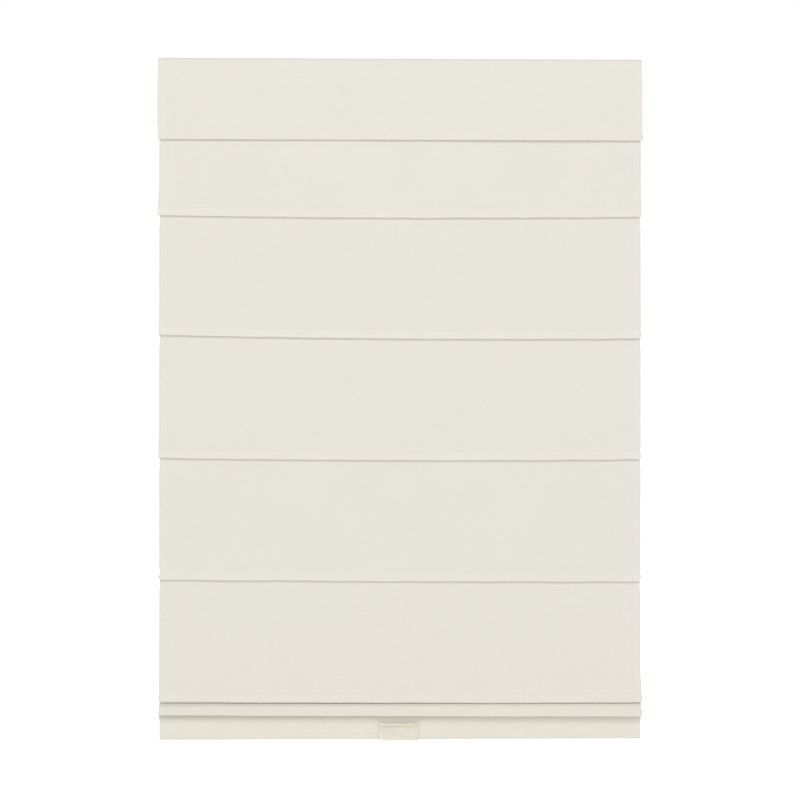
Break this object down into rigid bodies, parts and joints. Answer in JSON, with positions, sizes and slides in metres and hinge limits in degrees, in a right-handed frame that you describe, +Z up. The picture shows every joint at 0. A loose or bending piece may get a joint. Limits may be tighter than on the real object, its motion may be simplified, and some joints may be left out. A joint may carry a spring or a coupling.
{
  "type": "roman blind",
  "caption": "Cordless roman blind of cream cloth with soft folds, a valance over a white headrail, a spring lift inside and a clear pull handle.",
  "frame": {"origin": "centre of the four wall screw holes, on the wall's face", "axes": "+X to the right seen from the room, +Y into the wall, +Z up"},
  "size_m": [0.806, 0.0658, 1.1358],
  "materials": {
    "white_enamel": "white enamel on roll-formed steel",
    "white_moulding": "moulded white plastic",
    "spring_steel": "blued spring steel",
    "zinc_steel": "zinc-plated steel",
    "white_tape": "hook-and-loop tape",
    "cream_cloth": "plain-woven cream cloth",
    "lining_cloth": "thin white tape sewn as a rod pocket",
    "white_cord": "braided polyester cord",
    "bar_aluminium": "mill-finished extrusion",
    "fibre_rod": "pultruded glass-fibre rod",
    "clear_eye": "clear moulded plastic",
    "clear_plastic": "clear moulded plastic"
  },
  "bodies": {
    "head": {"headrail": "white_enamel", "end_cap_left": "white_moulding", "end_cap_right": "white_moulding", "bracket_left": "white_enamel", "bracket_right": "white_enamel", "hook_strip": "white_tape", "loop_strip": "white_tape", "valance_strip": "white_tape", "face_cloth": "cream_cloth", "valance": "cream_cloth", "motor_case": "white_moulding", "motor_cover": "white_moulding", "motor_screws": "zinc_steel", "power_spring": "spring_steel", "storage_axle": "zinc_steel", "spool_cradle_left": "white_moulding", "spool_cradle_right": "white_moulding", "cord_guide_left": "white_moulding", "cord_guide_right": "white_moulding", "lift_cord_left": "white_cord", "lift_cord_right": "white_cord"},
    "rib_1": {"rib_rod_1": "fibre_rod", "rod_tips_1": "white_moulding", "rod_pocket_1": "lining_cloth", "cord_eyes_1": "clear_eye"},
    "rib_2": {"rib_rod_2": "fibre_rod", "rod_tips_2": "white_moulding", "rod_pocket_2": "lining_cloth", "cord_eyes_2": "clear_eye"},
    "rib_3": {"rib_rod_3": "fibre_rod", "rod_tips_3": "white_moulding", "rod_pocket_3": "lining_cloth", "cord_eyes_3": "clear_eye"},
    "rib_4": {"rib_rod_4": "fibre_rod", "rod_tips_4": "white_moulding", "rod_pocket_4": "lining_cloth", "cord_eyes_4": "clear_eye"},
    "bottom_rail": {"rib_rod_5": "fibre_rod", "rod_tips_5": "white_moulding", "rod_pocket_5": "lining_cloth", "cord_eyes_5": "clear_eye", "bottom_bar": "bar_aluminium", "bar_caps": "white_moulding", "cord_anchors": "white_moulding", "anchor_screws": "zinc_steel", "pull_handle": "clear_plastic"},
    "lift_shaft_body": {"lift_shaft": "zinc_steel", "shaft_clips": "white_moulding", "cord_spool_left": "white_moulding", "cord_spool_right": "white_moulding", "output_drum": "white_moulding"},
    "storage_drum_body": {"storage_drum": "white_moulding"}
  },
  "joints": [
    {"name": "shade_lift", "type": "slide", "parent": "head", "child": "rib_1", "axis": [0, 0, 1], "range_m": [0, 0.188], "deforming": ["face_cloth", "lift_cord_left", "lift_cord_right"]},
    {"name": "rib_2_lift", "type": "slide", "parent": "rib_1", "child": "rib_2", "axis": [0, 0, 1], "range_m": [0, 0.188]},
    {"name": "rib_3_lift", "type": "slide", "parent": "rib_2", "child": "rib_3", "axis": [0, 0, 1], "range_m": [0, 0.188]},
    {"name": "rib_4_lift", "type": "slide", "parent": "rib_3", "child": "rib_4", "axis": [0, 0, 1], "range_m": [0, 0.188]},
    {"name": "bottom_rail_lift", "type": "slide", "parent": "rib_4", "child": "bottom_rail", "axis": [0, 0, 1], "range_m": [0, 0.188]},
    {"name": "shaft_turn", "type": "hinge", "parent": "head", "child": "lift_shaft_body", "pos_m": [0, -0.0345, -0.002], "axis": [1, 0, 0], "range_deg": [-5200, 0]},
    {"name": "storage_turn", "type": "hinge", "parent": "head", "child": "storage_drum_body", "pos_m": [0, -0.0155, -0.002], "axis": [1, 0, 0], "range_deg": [-5700, 0]}
  ],
  "couplings": [
    {"joint": "rib_2_lift", "follows": "shade_lift", "ratio": 1},
    {"joint": "rib_3_lift", "follows": "shade_lift", "ratio": 1},
    {"joint": "rib_4_lift", "follows": "shade_lift", "ratio": 1},
    {"joint": "bottom_rail_lift", "follows": "shade_lift", "ratio": 1},
    {"joint": "shaft_turn", "follows": "shade_lift", "rad_per_m": -476.19},
    {"joint": "storage_turn", "follows": "shade_lift", "rad_per_m": -523.81}
  ]
}
